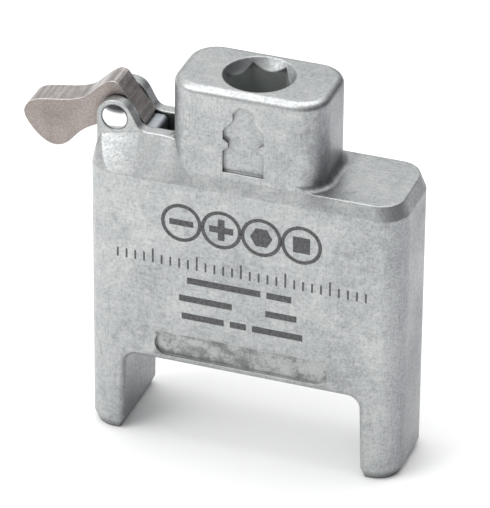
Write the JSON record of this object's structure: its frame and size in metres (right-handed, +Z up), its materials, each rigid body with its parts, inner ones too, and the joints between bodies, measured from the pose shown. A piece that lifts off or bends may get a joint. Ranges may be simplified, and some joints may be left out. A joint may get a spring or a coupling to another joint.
{
  "type": "hex bit driver insert",
  "caption": "Metal block that slides into a flip-lid pocket case: hex bit socket on top, bit storage gap between the legs and a sprung cam that holds the lid open or shut.",
  "frame": {"origin": "middle of the body's footprint, in the plane of the two feet", "axes": "+Z up through the socket, front face towards -Y, lid cam at the -X end"},
  "size_m": [0.0439, 0.0108, 0.0443],
  "materials": {
    "zinc": "tumbled zinc casting",
    "sintered_steel": "fine-grained sintered steel",
    "rivet_steel": "polished",
    "spring_steel": "brushed strip",
    "magnet": "nickel plated"
  },
  "bodies": {
    "insert": {"insert_body": "zinc", "pivot_rivet": "rivet_steel", "cam_spring": "spring_steel", "socket_magnet": "magnet", "storage_magnet": "magnet"},
    "cam": {"cam_lever": "sintered_steel"}
  },
  "joints": [
    {"name": "cam_pivot", "type": "hinge", "parent": "insert", "child": "cam", "pos_m": [-0.01515, 0, 0.03775], "axis": [0, 1, 0], "range_deg": [0, 126], "deforming": ["cam_spring"]}
  ]
}
